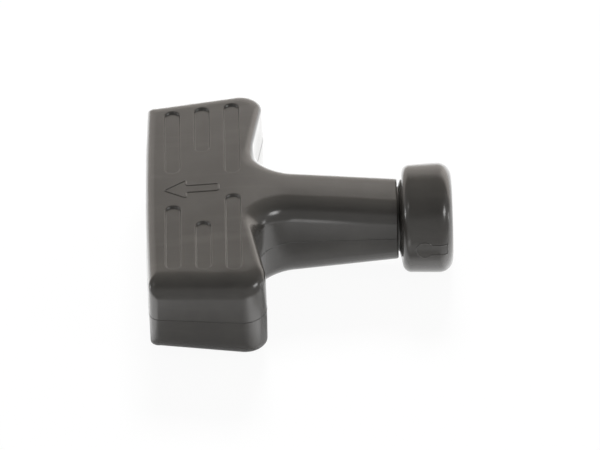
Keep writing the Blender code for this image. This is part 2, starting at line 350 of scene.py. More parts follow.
def half_outline(inset_of, facing=0.0):
    """Half outline with each edge moved in by inset_of(edge), as (point, rounding, drop).

    facing is how far the level's surface has turned up, which the stem's rounded end needs.
    """
    edges = plan_edges()
    insets = [inset_of(edge) for edge in edges]
    moved = []
    for edge, inset in zip(edges, insets):
        inward = heading_vector(edge.heading - math.radians(90))
        moved.append(edge._replace(point=edge.point + inward * inset))
    outline = []
    for i, (radius, steps) in enumerate(PLAN_CORNERS):
        before, after = moved[i], moved[i + 1]
        inset = min(insets[i], insets[i + 1])
        concave = before.heading < after.heading
        level_radius = radius + inset if concave else max(radius - inset, LEAST_CORNER_RADIUS)
        for k, point in enumerate(corner_arc(before, after, level_radius, steps)):
            share = k / steps
            if concave:
                heading = before.heading + (after.heading - before.heading) * share
                inward = heading_vector(heading - math.radians(90))
                early = eased_share(share / WAIST_BLEND)
                point = point + inward * (insets[i + 1] - insets[i]) * (early - share)
                share = early
            rounding = before.rounding + (after.rounding - before.rounding) * share
            outline.append((point, rounding, 0.0))
    side_y = moved[-1].point.y
    for k in range(LIP_STEPS + 1):
        turn = math.radians(90) * k / LIP_STEPS
        x = STEM_END - STEM_END_RADIUS * (1 - math.sin(turn))
        inset = STEM_END_RADIUS * (1 - math.cos(turn))
        y = side_y - inset * math.cos(facing)
        outline.append((Vector((x, y)), moved[-1].rounding, inset * math.sin(facing)))
    outline.append((Vector((STEM_END, 0)), *outline[-1][1:]))
    return outline


def split_counts(outline, longest):
    """Into how many pieces each stretch of an outline is split."""
    pairs = zip(outline, outline[1:])
    return [max(1, math.ceil((b[0] - a[0]).length / longest)) for a, b in pairs]


def split_outline(outline, counts):
    """The outline with each stretch split into its count of pieces."""
    points = []
    for (a, b), count in zip(zip(outline, outline[1:]), counts):
        for i in range(count):
            share = i / count
            rounding, drop = (p + (q - p) * share for p, q in zip(a[1:], b[1:]))
            points.append((a[0].lerp(b[0], share), rounding, drop))
    points.append(outline[-1])
    return points


def whole_ring(half):
    """Closed ring from a half outline: along the far side, back along the near side."""
    near = [(Vector((point.x, -point.y)), *rest) for point, *rest in reversed(half[1:-1])]
    return half + near


def wall_inset(height):
    """Inset of an edge at a height on its drafted wall, less the parting line's bead."""
    bead = BEAD_HEIGHT * max(0.0, math.cos(math.radians(90) * min(1.0, height / BEAD_HALF_WIDTH)))
    return lambda edge: SKIN_INSET + math.tan(edge.draft) * height - bead


def edge_inset(angle):
    """Inset of an edge at an angle of its rounding."""

    def inset(edge):
        wall = math.tan(edge.draft) * (HALF_THICKNESS - edge.rounding)
        return SKIN_INSET + wall + edge.rounding * (1 - math.cos(angle))

    return inset


def lifted(point, height):
    """A point of the upper half, bent to the rising crossbar and the tapering stem."""
    share = min(1.0, height / LOWEST_ROUNDING)
    return Vector((point.x, point.y, height + share * (half_thickness(point.x) - HALF_THICKNESS)))


def body_rings():
    """Rings of the upper half from the parting line to the broad face."""
    counts = split_counts(half_outline(wall_inset(0.0)), STRETCH_LENGTH)

    def ring_at(inset_of, facing, height_of):
        ring = whole_ring(split_outline(half_outline(inset_of, facing), counts))
        return [lifted(p, height_of(rounding) - drop) for p, rounding, drop in ring]

    rings = []
    for i in range(BEAD_STEPS + 1):
        height = PARTING_GAP + (BEAD_HALF_WIDTH - PARTING_GAP) * i / BEAD_STEPS
        rings.append(ring_at(wall_inset(height), 0.0, lambda rounding: height))
    for i in range(EDGE_STEPS + 1):
        angle = math.radians(90) * i / EDGE_STEPS
        rise = math.sin(angle) - 1
        rings.append(ring_at(
            edge_inset(angle), angle, lambda rounding: HALF_THICKNESS + rounding * rise,
        ))
    return rings


def slot_section():
    """Section across a slot's edge as (offset outwards, depth) pairs, from face to floor."""
    wall = math.radians(90) - SLOT_DRAFT
    lip = SLOT_LIP_RADIUS
    foot = SLOT_FOOT_RADIUS
    lip_offset = lip * (1 - math.sin(SLOT_DRAFT)) / math.cos(SLOT_DRAFT)
    foot_depth = SLOT_DEPTH - foot
    foot_offset = -foot_depth * math.tan(SLOT_DRAFT) - foot / math.cos(SLOT_DRAFT)
    section = [(lip_offset + SUPPORT_WIDTH, 0.0)]
    for i in range(LIP_STEPS + 1):
        angle = wall * i / LIP_STEPS
        section.append((lip_offset - lip * math.sin(angle), lip * (1 - math.cos(angle))))
    for i in range(LIP_STEPS + 1):
        angle = wall * (1 - i / LIP_STEPS)
        section.append((foot_offset + foot * math.sin(angle), foot_depth + foot * math.cos(angle)))
    section.append((foot_offset - SUPPORT_WIDTH, SLOT_DEPTH))
    return section


def stadium(x, start, end, offset, lean):
    """Slot outline round a line along the crossbar, grown by an offset, its far end set back."""
    radius = SLOT_WIDTH / 2 + offset
    low_y = min(start, end) + SLOT_WIDTH / 2
    high_y = max(start, end) - SLOT_WIDTH / 2 - lean
    steps = max(1, round((high_y - low_y) / STRETCH_LENGTH))
    ring = []
    for i in range(SLOT_END_STEPS + 1):
        angle = math.pi * i / SLOT_END_STEPS
        ring.append(Vector((x + radius * math.cos(angle), high_y + radius * math.sin(angle))))
    for i in range(1, steps):
        ring.append(Vector((x - radius, high_y + (low_y - high_y) * i / steps)))
    for i in range(SLOT_END_STEPS + 1):
        angle = math.pi * (1 + i / SLOT_END_STEPS)
        ring.append(Vector((x + radius * math.cos(angle), low_y + radius * math.sin(angle))))
    for i in range(1, steps):
        ring.append(Vector((x + radius, low_y + (high_y - low_y) * i / steps)))
    return ring


def slot_places():
    """Middle line and both ends of every slot on a broad face."""
    far = (1, FAR_SLOT_STARTS, FAR_SLOT_END_MARGIN)
    near = (-1, NEAR_SLOT_STARTS, NEAR_SLOT_END_MARGIN)
    pitch = (GRIP_WIDTH - SLOT_PALM_MARGIN - SLOT_WALL_MARGIN) / (len(FAR_SLOT_STARTS) - 1)
    places = []
    for side, starts, margin in (far, near):
        for column, start in enumerate(starts):
            x = SLOT_PALM_MARGIN + pitch * column
            end = END_Y + math.tan(END_SLANT) * x - margin
            places.append((x, side * start, side * end))
    return places


def filler_points(taken, walls):
    """Points of a staggered grid within the walls, clear of the points already taken."""
    edge = np.array([(p.x, p.y) for p in taken])
    x0, y0 = walls.min(0)
    x1, y1 = walls.max(0)
    row_spacing = FILLER_SPACING * math.sqrt(0.75)
    found = []
    for row, y in enumerate(np.arange(y0, y1, row_spacing)):
        for x in np.arange(x0 + (row % 2) * FILLER_SPACING / 2, x1, FILLER_SPACING):
            gap = np.hypot(*(edge - (x, y)).T).min()
            if gap > FILLER_CLEARANCE and inside(walls, x, y):
                found.append(Vector((x, y)))
    return found


def inside(walls, x, y):
    """Whether a point of the plan lies within a closed outline."""
    a, b = walls, np.roll(walls, -1, axis=0)
    spans = (a[:, 1] > y) != (b[:, 1] > y)
    a, b = a[spans], b[spans]
    cuts = a[:, 0] + (y - a[:, 1]) / (b[:, 1] - a[:, 1]) * (b[:, 0] - a[:, 0])
    return np.count_nonzero(cuts > x) % 2 == 1


def around(loop):
    """Each item of a closed loop with the one after it."""
    return list(zip(loop, loop[1:] + loop[:1]))


class HalfShell:
    """Upper half of the crossbar and stem, built up from its rings."""

    def __init__(self, rings):
        self.rings = rings
        self.points = []
        self.faces = []
        self.taken = {}
        self.far_end = next(i for i, p in enumerate(rings[0]) if p.x > STEM_END - MERGE)
        self.near_end = len(rings[0]) - self.far_end

    def add(self, point):
        """Adds a point and returns its number."""
        self.points.append(Vector(point))
        return len(self.points) - 1

    def on_ring(self, level, i):
        """Number of a ring's point, added when first asked for."""
        level %= len(self.rings)
        i %= len(self.rings[level])
        if (level, i) not in self.taken:
            self.taken[level, i] = self.add(self.rings[level][i])
        return self.taken[level, i]

    def wall(self, top_level):
        """Faces between the rings up to a level, and up to the last one at the stem's end."""
        for level in range(len(self.rings) - 1):
            for i in range(len(self.rings[0])):
                if level < top_level or self.far_end <= i < self.near_end:
                    corners = (level, i), (level, i + 1), (level + 1, i + 1), (level + 1, i)
                    self.faces.append([self.on_ring(*corner) for corner in corners])

    def face_outline(self, level):
        """Closed outline of the broad face from a level of its rounding on."""
        last = len(self.rings) - 1
        loop = [self.on_ring(level, i) for i in range(self.far_end)]
        loop += [self.on_ring(k, self.far_end) for k in range(level, last)]
        loop += [self.on_ring(last, i) for i in range(self.far_end, self.near_end + 1)]
        loop += [self.on_ring(k, self.near_end) for k in reversed(range(level, last))]
        loop += [self.on_ring(level, i) for i in range(self.near_end + 1, len(self.rings[0]))]
        return loop

    def ring_lines(self, level, keep_clear):
        """Rings above a level and rows over the stem's rounded end, broken where a slot lies."""
        lines = []
        last = len(self.rings) - 1
        count = len(self.rings[0])
        for k in range(level + 1, last + 1):
            for i in list(range(self.far_end)) + list(range(self.near_end, count)):
                a, b = self.rings[k][i], self.rings[k][(i + 1) % count]
                if all(keep_clear(a.lerp(b, share)) for share in (0, 0.25, 0.5, 0.75, 1)):
                    lines.append((self.on_ring(k, i), self.on_ring(k, i + 1)))
        for k in range(LIP_STEPS):
            i = self.far_end - 1 - k
            lines.append((self.on_ring(last, i), self.on_ring(last, count - i)))
        return lines

    def triangulate(self, used, edges, outline):
        """Triangles within the outline through all used points, held to the edges."""
        number = {v: i for i, v in enumerate(used)}
        plan = [self.points[v].to_2d() / MM for v in used]
        pairs = [(number[a], number[b]) for a, b in edges]
        within = [number[v] for v in reversed(outline)]
        made = delaunay_2d_cdt(plan, pairs, [within], 0, PLAN_TOLERANCE, True)
        triangles, from_points, from_faces = made[2], made[3], made[5]
        origin = [used[min(ids)] for ids in from_points]
        for triangle, outlines in zip(triangles, from_faces):
            if outlines:
                self.faces.append([origin[v] for v in triangle])


def bare_heights(rings):
    """Function that gives the height of the surface without its slots over the plan."""
    bare = HalfShell(rings)
    bare.wall(len(rings) - 1)
    outline = bare.face_outline(len(rings) - 1)
    lines = bare.ring_lines(len(rings) - 1, lambda p: True)
    edges = around(outline) + lines
    walls = np.array([bare.points[v].to_2d() for v in outline])
    used = sorted({v for edge in edges for v in edge})
    for p in filler_points([bare.points[v] for v in outline], walls):
        used.append(bare.add((p.x, p.y, half_thickness(p.x))))
    bare.triangulate(used, edges, outline)
    tree = BVHTree.FromPolygons(bare.points, bare.faces)
    above = 2 * HALF_THICKNESS

    def height(x, y):
        return tree.ray_cast(Vector((x, y, above)), Vector((0, 0, -1)))[0].z

    return height


def near_slot(p, reach):
    """Whether a point lies in a slot or within reach of its edge."""
    for x, start, end in slot_places():
        low_y, high_y = sorted((start, end))
        inner = min(max(p.y, low_y + SLOT_WIDTH / 2), high_y - SLOT_WIDTH / 2)
        if math.hypot(p.x - x, p.y - inner) < SLOT_WIDTH / 2 + reach:
            return True
    return False


def half_shell():
    """Upper half with its slots."""
    rings = body_rings()
    surface = bare_heights(rings)
    shell = HalfShell(rings)
    shell.wall(FACE_LEVEL)
    outline = shell.face_outline(FACE_LEVEL)
    section = slot_section()
    slot_reach = section[0][0]
    lines = shell.ring_lines(FACE_LEVEL, lambda p: not near_slot(p, slot_reach + SUPPORT_WIDTH))
    loops = []
    for place in slot_places():
        for offset, depth in section:
            loop = []
            for p in stadium(*place, offset, depth * SLOT_END_LEAN):
                face = surface(p.x, p.y)
                floor = half_thickness(p.x) - SLOT_DEPTH
                share = depth / SLOT_DEPTH
                loop.append(shell.add((p.x, p.y, face + (floor - face) * share)))
            loops.append(loop)
    edges = lines + [edge for loop in [outline, *loops] for edge in around(loop)]
    used = sorted({v for edge in edges for v in edge})
    walls = np.array([shell.points[v].to_2d() for v in outline])
    for p in filler_points([shell.points[v] for v in used], walls):
        height = surface(p.x, p.y)
        if near_slot(p, 0):
            height = half_thickness(p.x) - SLOT_DEPTH
        used.append(shell.add((p.x, p.y, height)))
    shell.triangulate(used, edges, outline)
    for p in shell.points:
        p.z += stem_crown(p.x, p.y) * min(1.0, p.z / LOWEST_ROUNDING) ** STEM_CROWN_FADE
    return shell


def grip_and_stem():
    """Crossbar and stem as one closed mesh about the rope line."""
    shell = half_shell()
    mesh = bmesh.new()
    seams = []
    for side in (1, -1):
        shift = side * HALF_MISMATCH / 2
        verts = [mesh.verts.new((p.x, p.y + shift, side * p.z)) for p in shell.points]
        for face in shell.faces:
            mesh.faces.new([verts[v] for v in face])
        seams.append([verts[shell.on_ring(0, i)] for i in range(len(shell.rings[0]))])
    upper, lower = seams
    for i in range(len(upper)):
        j = (i + 1) % len(upper)
        mesh.faces.new((upper[i], upper[j], lower[j], lower[i]))
    bmesh.ops.recalc_face_normals(mesh, faces=mesh.faces[:])
    return mesh


def arc_points(centre, radius, start, end, steps):
    """Points of an arc as (radius, place) pairs; the angles count from the outward side."""
    points = []
    for i in range(steps + 1):
        angle = start + (end - start) * i / steps
        points.append(centre + heading_vector(angle) * radius)
    return points


def collar_profile():
    """Collar and neck from the rim back into the stem."""
    rim = COLLAR_DIAMETER / 2
    neck = min(STEM_WIDTH / 2, half_thickness(STEM_END)) - NECK_STEP
    root = STEM_END - NECK_ROOT_DEPTH
    square = math.radians(90)
    side_facing = -COLLAR_FLARE
    back_facing = COLLAR_BACK_SLANT - square
    rim_centre = Vector((rim - COLLAR_RIM_RADIUS, HANDLE_REACH - COLLAR_RIM_RADIUS))
    side_inset = COLLAR_RIM_RADIUS - COLLAR_BACK_RADIUS
    on_side = rim_centre + heading_vector(side_facing) * side_inset
    on_back = Vector((neck, COLLAR_START)) - heading_vector(back_facing) * COLLAR_BACK_RADIUS
    along_side = heading_vector(side_facing - square)
    along_back = heading_vector(COLLAR_BACK_SLANT)
    back_centre = crossing(on_side, along_side, on_back, along_back)
    points = [Vector((0, HANDLE_REACH))]
    points += arc_points(rim_centre, COLLAR_RIM_RADIUS, square, side_facing, EDGE_STEPS)
    points += arc_points(back_centre, COLLAR_BACK_RADIUS, side_facing, back_facing, EDGE_STEPS)
    neck_radius = NECK_LENGTH / 2
    neck_centre = Vector((neck + neck_radius, COLLAR_START - neck_radius))
    points += arc_points(neck_centre, neck_radius, back_facing + 2 * square, 2 * square, LIP_STEPS)
    points += [Vector((neck, root)), Vector((0, root))]
    return points


def mouth_arc(hole_radius, face, inward):
    """Rounded mouth of a hole, from just outside a face at this place into the hole."""
    radius = MOUTH_RADIUS
    centre = Vector((hole_radius + radius, face + inward * radius))
    arc = []
    for i in range(LIP_STEPS + 1):
        angle = MOUTH_TURN * (1 - i / LIP_STEPS)
        arc.append(centre - Vector((math.cos(angle), inward * math.sin(angle))) * radius)
    outside = arc[0] + Vector((2 * radius, -inward * radius))
    return [outside] + arc


def rope_way_profile():
    """Socket, bore and knot pocket as one turned hole, running past both ends."""
    socket = SOCKET_DIAMETER / 2
    socket_floor = HANDLE_REACH - SOCKET_DEPTH
    bore = ROPE_BORE_DIAMETER / 2
    pocket = KNOT_POCKET_DIAMETER / 2
    pocket_end = pocket - math.tan(KNOT_POCKET_DRAFT) * KNOT_POCKET_DEPTH
    seat = KNOT_POCKET_DEPTH + (pocket_end - bore) * math.tan(KNOT_SEAT_SLOPE)
    into_socket = mouth_arc(socket, HANDLE_REACH, -1)
    into_pocket = mouth_arc(pocket, SKIN_INSET, 1)
    points = [Vector((0, into_socket[0].y))]
    points += into_socket
    points.append(Vector((socket - math.tan(SOCKET_DRAFT) * SOCKET_DEPTH, socket_floor)))
    points.append(Vector((bore, socket_floor)))
    points.append(Vector((bore, seat)))
    points.append(Vector((pocket_end, KNOT_POCKET_DEPTH)))
    points += reversed(into_pocket)
    points.append(Vector((0, into_pocket[0].y)))
    return points


def turned(profile, segments):
    """Solid of revolution about the rope line from (radius, place) pairs."""
    mesh = bmesh.new()
    verts = [mesh.verts.new((p.y, p.x, 0)) for p in profile]
    edges = [mesh.edges.new(pair) for pair in zip(verts, verts[1:])]
    bmesh.ops.spin(
        mesh, geom=verts + edges, axis=(1, 0, 0), cent=(0, 0, 0),
        angle=math.radians(360), steps=segments, use_merge=True,
    )
    bmesh.ops.remove_doubles(mesh, verts=mesh.verts[:], dist=MERGE)
    bmesh.ops.recalc_face_normals(mesh, faces=mesh.faces[:])
    return mesh


def linked(name, data):
    """New object of some data, linked to the scene."""
    thing = bpy.data.objects.new(name, data)
    bpy.context.scene.collection.objects.link(thing)
    return thing


def link_mesh(name, mesh):
    """Turns a mesh about the rope line into an object at the origin, its place in its mesh."""
    bmesh.ops.translate(mesh, vec=(PALM_X, 0, ROPE_LINE_Z), verts=mesh.verts[:])
    data = bpy.data.meshes.new(name)
    mesh.to_mesh(data)
    mesh.free()
    return linked(name, data)


def settle(thing):
    """Applies an object's modifiers and gives it the result as a plain mesh."""
    graph = bpy.context.evaluated_depsgraph_get()
    plain = bpy.data.meshes.new_from_object(thing.evaluated_get(graph))
    thing.modifiers.clear()
    thing.data = plain


def join_or_cut(thing, other, operation, solver="EXACT"):
    """Joins another solid to an object or cuts it out, and removes the other."""
    boolean = thing.modifiers.new(other.name, "BOOLEAN")
    boolean.operation = operation
    boolean.solver = solver
    boolean.object = other
    settle(thing)
    bpy.data.objects.remove(other)


def raised_line_tree():
    """Geometry nodes that lay a fine round line along a path of edges."""
    tree = bpy.data.node_groups.new("raised_line", "GeometryNodeTree")
    for name, kind in (
        ("Path", "Geometry"), ("Line Radius", "Float"), ("Sides", "Int"), ("Material", "Material"),
    ):
        tree.interface.new_socket(name, in_out="INPUT", socket_type="NodeSocket" + kind)
    tree.interface.new_socket("Line", in_out="OUTPUT", socket_type="NodeSocketGeometry")
    entry = tree.nodes.new("NodeGroupInput").outputs
    curve = tree.nodes.new("GeometryNodeMeshToCurve")
    section = tree.nodes.new("GeometryNodeCurvePrimitiveCircle")
    sweep = tree.nodes.new("GeometryNodeCurveToMesh")
    realized = tree.nodes.new("GeometryNodeRealizeInstances")
    dressed = tree.nodes.new("GeometryNodeSetMaterial")
    leave = tree.nodes.new("NodeGroupOutput")
    tree.links.new(entry["Path"], curve.inputs["Mesh"])
    tree.links.new(entry["Line Radius"], section.inputs["Radius"])
    tree.links.new(entry["Sides"], section.inputs["Resolution"])
    tree.links.new(curve.outputs["Curve"], sweep.inputs["Curve"])
    tree.links.new(section.outputs["Curve"], sweep.inputs["Profile Curve"])
    tree.links.new(sweep.outputs["Mesh"], realized.inputs["Geometry"])
    tree.links.new(realized.outputs["Geometry"], dressed.inputs["Geometry"])
    tree.links.new(entry["Material"], dressed.inputs["Material"])
    tree.links.new(dressed.outputs["Geometry"], leave.inputs["Line"])
    return tree


def eased(corners):
    """Closed path of plan corners with each corner cut back by a short curve."""
    path = []
    corners = [Vector(corner) for corner in corners]
    for i, corner in enumerate(corners):
        before, after = corners[i - 1], corners[(i + 1) % len(corners)]
        start = corner + (before - corner).normalized() * ARROW_CORNER
        end = corner + (after - corner).normalized() * ARROW_CORNER
        for k in range(ARROW_CORNER_STEPS + 1):
            share = k / ARROW_CORNER_STEPS
            path.append(start.lerp(corner, share).lerp(corner.lerp(end, share), share))
    return path


def raised_line(name, tree, corners, radius, place, material):
    """Solid fine line along a closed path of plan corners; place() gives a corner's spot."""
    stations = []
    for here, there in around([Vector(corner) for corner in corners]):
        count = max(1, round((there - here).length / LINE_STATION))
        stations += [place(here.lerp(there, k / count)) for k in range(count)]
    path = bpy.data.meshes.new(name)
    path.from_pydata(stations, around(list(range(len(stations)))), [])
    thing = linked(name, path)
    nodes = thing.modifiers.new("raised_line", "NODES")
    nodes.node_group = tree
    settings = {"Line Radius": radius, "Sides": LINE_SIDES, "Material": material}
    for socket, value in settings.items():
        nodes[tree.interface.items_tree[socket].identifier] = value
    settle(thing)
    mesh = bmesh.new()
    mesh.from_mesh(thing.data)
    bmesh.ops.recalc_face_normals(mesh, faces=mesh.faces[:])
    mesh.to_mesh(thing.data)
    mesh.free()
    return thing


def keyhole_corners():
    """Keyhole outline in plan of the collar's near side: along the rope line, and up."""
    opening = math.asin(MARK_BAR_HALF_WIDTH / MARK_RING_RADIUS)
    turn = math.radians(360) - 2 * opening
    corners = []
    for i in range(MARK_RING_STEPS + 1):
        angle = opening + turn * i / MARK_RING_STEPS
        x = MARK_RING_X + MARK_RING_RADIUS * math.cos(angle)
        corners.append((x, MARK_RING_RADIUS * math.sin(angle)))
    corners += [(MARK_BAR_END, -MARK_BAR_HALF_WIDTH), (MARK_BAR_END, MARK_BAR_HALF_WIDTH)]
    return corners


def arrow_corners():
    """Outline of a plain arrow that points the way of the pull, in plan of the top."""
    side, head = ARROW_SHAFT_HALF_WIDTH, ARROW_HEAD_HALF_WIDTH
    return [
        (ARROW_TAIL_X, -side), (ARROW_HEAD_X, -side), (ARROW_HEAD_X, -head), (ARROW_TIP_X, 0),
        (ARROW_HEAD_X, head), (ARROW_HEAD_X, side), (ARROW_TAIL_X, side),
    ]


def add_raised_lines(handle, material):
    """Joins the mould mark and the arrow to the surface they lie on."""
    surface = BVHTree.FromObject(handle, bpy.context.evaluated_depsgraph_get())

    def on_collar(plan):
        start = Vector((PALM_X + plan.x, -RAY_START, ROPE_LINE_Z + plan.y))
        spot, facing = surface.ray_cast(start, (0, 1, 0))[:2]
        return spot - facing * (MARK_LINE_RADIUS - MARK_LINE_HEIGHT)

    def on_top(plan):
        start = Vector((PALM_X + plan.x, plan.y, RAY_START))
        spot, facing = surface.ray_cast(start, (0, 0, -1))[:2]
        return spot - facing * (ARROW_LINE_RADIUS - ARROW_LINE_HEIGHT)

    tree = raised_line_tree()
    lines = (
        ("mould_mark", keyhole_corners(), MARK_LINE_RADIUS, on_collar),
        ("pull_arrow", eased(arrow_corners()), ARROW_LINE_RADIUS, on_top),
    )
    for name, corners, radius, place in lines:
        line = raised_line(name, tree, corners, radius, place, material)
        join_or_cut(handle, line, "UNION", "MANIFOLD")


def moulding(material):
    """The whole handle as one piece."""
    handle = link_mesh("handle_moulding", grip_and_stem())
    collar = link_mesh("collar", turned(collar_profile(), COLLAR_SEGMENTS))
    rope_way = link_mesh("rope_way", turned(rope_way_profile(), BORE_SEGMENTS))
    join_or_cut(handle, collar, "UNION")
    join_or_cut(handle, rope_way, "DIFFERENCE")
    add_raised_lines(handle, material)
    handle.data.shade_smooth()
    handle.data.set_sharp_from_angle(angle=SMOOTH_ANGLE)
    evened = handle.modifiers.new("even_shading", "WEIGHTED_NORMAL")
    evened.keep_sharp = True
    evened.weight = SHADING_WEIGHT
    return handle


def math_node(tree, operation, *values):
    """Math node whose inputs are numbers or other nodes' outputs; returns its output."""
    node = tree.nodes.new("ShaderNodeMath")
    node.operation = operation
    for socket, value in zip(node.inputs, values):
        if isinstance(value, (int, float)):
            socket.default_value = value
        else:
            tree.links.new(value, socket)
    return node.outputs["Value"]


def smooth_step(tree, value, start, end, low_value=0.0, high_value=1.0):
    """Smooth change from one value to another as the input goes from start to end."""
    node = tree.nodes.new("ShaderNodeMapRange")
    node.interpolation_type = "SMOOTHSTEP"
    node.inputs["From Min"].default_value = start
    node.inputs["From Max"].default_value = end
    node.inputs["To Min"].default_value = low_value
    node.inputs["To Max"].default_value = high_value
    tree.links.new(value, node.inputs["Value"])
    return node.outputs["Result"]


def blend(tree, share, first, second):
    """Mix of two values, each a number or another node's output; returns its output."""
    gap = math_node(tree, "SUBTRACT", second, first)
    return math_node(tree, "ADD", first, math_node(tree, "MULTIPLY", share, gap))


def new_material(name):
    """New material that is made of nodes, and its tree."""
    material = bpy.data.materials.new(name)
    material.use_nodes = True
    return material, material.node_tree


def grain_group():
    """Moulded grain: a normal, a mask of duller patches and a mask of flow marks."""
    group = bpy.data.node_groups.new("moulded_grain", "ShaderNodeTree")
    for name, value in GRAIN_SETTINGS.items():
        socket = group.interface.new_socket(name, in_out="INPUT", socket_type="NodeSocketFloat")
        socket.default_value = value
    for name, kind in (("Normal", "Vector"), ("Dull", "Float"), ("Marks", "Float")):
        group.interface.new_socket(name, in_out="OUTPUT", socket_type="NodeSocket" + kind)
    entry = group.nodes.new("NodeGroupInput")
    leave = group.nodes.new("NodeGroupOutput")
    place = group.nodes.new("ShaderNodeTexCoord").outputs["Object"]

    fine = noise(group, place, *GRAIN_NOISE)
    group.links.new(entry.outputs["Grain Size"], fine.inputs["Scale"])
    broad = noise(group, place, *PATCH_NOISE)
    swell = noise(group, place, *SWELL_NOISE)
    stretch = group.nodes.new("ShaderNodeMapping")
    stretch.inputs["Scale"].default_value = FLOW_STRETCH
    group.links.new(place, stretch.inputs["Vector"])
    flow = noise(group, stretch.outputs["Vector"], *FLOW_NOISE)

    dull = smooth_step(group, broad.outputs["Fac"], *PATCH_RANGE)
    streaks = smooth_step(group, flow.outputs["Fac"], *FLOW_RANGE)
    marks = math_node(group, "MULTIPLY", streaks, entry.outputs["Flow"])
    rough = math_node(group, "MULTIPLY", fine.outputs["Fac"], entry.outputs["Grain Depth"])
    height = math_node(group, "ADD", rough, swell.outputs["Fac"])
    bump = group.nodes.new("ShaderNodeBump")
    bump.inputs["Strength"].default_value = 1.0
    bump.inputs["Distance"].default_value = GRAIN_RELIEF
    group.links.new(height, bump.inputs["Height"])
    group.links.new(bump.outputs["Normal"], leave.inputs["Normal"])
    group.links.new(dull, leave.inputs["Dull"])
    group.links.new(marks, leave.inputs["Marks"])
    return group


def noise(tree, place, scale, detail, roughness):
    """Noise texture at a place."""
    node = tree.nodes.new("ShaderNodeTexNoise")
    node.inputs["Scale"].default_value = scale
    node.inputs["Detail"].default_value = detail
    node.inputs["Roughness"].default_value = roughness
    tree.links.new(place, node.inputs["Vector"])
    return node


def colour_mix(tree, share, first, second):
    """Mix of two colours, each written out or another node's output; returns its output."""
    node = tree.nodes.new("ShaderNodeMix")
    node.data_type = "RGBA"
    a, b = (socket for socket in node.inputs if socket.type == "RGBA")
    for socket, value in ((a, first), (b, second)):
        if isinstance(value, tuple):
            socket.default_value = value
        else:
            tree.links.new(value, socket)
    tree.links.new(share, node.inputs["Factor"])
    return next(socket for socket in node.outputs if socket.type == "RGBA")


def black_plastic():
    """Black plastic as it leaves the mould: fine grain, duller patches and faint flow marks."""
    material, tree = new_material("black_plastic")
    shader = tree.nodes["Principled BSDF"]
    shader.inputs["IOR"].default_value = PLASTIC_IOR
    skin = tree.nodes.new("ShaderNodeGroup")
    skin.node_tree = grain_group()
    for socket, value in GRAIN_SETTINGS.items():
        skin.inputs[socket].default_value = value
    patches = colour_mix(tree, skin.outputs["Dull"], PLASTIC_DARK, PLASTIC_DULL)
    pale = tuple(FLOW_PALENESS * value for value in PLASTIC_DULL[:3]) + (1.0,)
    colour = colour_mix(tree, skin.outputs["Marks"], patches, pale)
    roughness = blend(tree, skin.outputs["Dull"], *PLASTIC_ROUGHNESS)
    tree.links.new(colour, shader.inputs["Base Color"])
    tree.links.new(roughness, shader.inputs["Roughness"])
    tree.links.new(skin.outputs["Normal"], shader.inputs["Normal"])
    return material


def aim_camera():
    """Camera at the photograph's place, level and lens."""
    elevation, azimuth, roll = CAMERA_ELEVATION, CAMERA_AZIMUTH, CAMERA_ROLL
    forward = Vector((
        -math.sin(azimuth) * math.cos(elevation),
        math.cos(azimuth) * math.cos(elevation),
        -math.sin(elevation),
    ))
    level_right = Vector((math.cos(azimuth), math.sin(azimuth), 0))
    level_up = level_right.cross(forward)
    right = level_right * math.cos(roll) + level_up * math.sin(roll)
    up = level_up * math.cos(roll) - level_right * math.sin(roll)
    width, height = IMAGE_SIZE
    across = (width / 2 - ORIGIN_PIXEL[0]) / PIXELS_PER_MM * MM
    above = (ORIGIN_PIXEL[1] - height / 2) / PIXELS_PER_MM * MM
    target = right * across + up * above
    lens = bpy.data.cameras.new("camera")
    lens.sensor_width = SENSOR_WIDTH
    lens.lens = SENSOR_WIDTH * PIXELS_PER_MM * CAMERA_DISTANCE / MM / width
    lens.clip_start, lens.clip_end = CAMERA_CLIP
    camera = linked("camera", lens)
    turn = Matrix((right, up, -forward)).transposed().to_4x4()
    camera.matrix_world = Matrix.Translation(target - forward * CAMERA_DISTANCE) @ turn
    bpy.context.scene.camera = camera


def from_direction(azimuth, elevation, distance):
    """Place seen from the handle at an azimuth, counted from the back to the right."""
    azimuth, elevation = math.radians(azimuth), math.radians(elevation)
    flat = math.cos(elevation)
    way = Vector((math.sin(azimuth) * flat, math.cos(azimuth) * flat, math.sin(elevation)))
    return way * distance


def softbox(lamp):
    """Rectangular area light of a lamp's radiance, turned towards the handle."""
    light = bpy.data.lights.new(lamp.name, "AREA")
    light.shape = "RECTANGLE"
    width, height = lamp.size
    light.size, light.size_y = width, height
    light.energy = lamp.radiance * math.pi * width * height
    thing = linked(lamp.name, light)
    thing.location = from_direction(lamp.azimuth, lamp.elevation, lamp.distance)
    thing.rotation_mode = "QUATERNION"
    thing.rotation_quaternion = (-thing.location).to_track_quat("-Z", "Y")
    thing.visible_glossy = lamp.mirrored


def world_light():
    """Even soft light, a dim room for reflections, and white for the camera."""
    world = bpy.data.worlds.new("studio")
    bpy.context.scene.world = world
    world.use_nodes = True
    tree = world.node_tree
    ground = tree.nodes["Background"]
    ground.inputs["Color"].default_value = (1, 1, 1, 1)
    place = tree.nodes.new("ShaderNodeTexCoord")
    split = tree.nodes.new("ShaderNodeSeparateXYZ")
    tree.links.new(place.outputs["Generated"], split.inputs["Vector"])
    roof = smooth_step(tree, split.outputs["Z"], *ROOF_RANGE)
    mirrored = blend(tree, roof, ROOM_RADIANCE, ROOF_RADIANCE)
    seen = tree.nodes.new("ShaderNodeLightPath")
    spread = blend(tree, seen.outputs["Is Glossy Ray"], AMBIENT_RADIANCE, mirrored)
    shown = math_node(
        tree, "MAXIMUM", seen.outputs["Is Camera Ray"], seen.outputs["Is Transmission Ray"]
    )
    tree.links.new(blend(tree, shown, spread, 1.0), ground.inputs["Strength"])


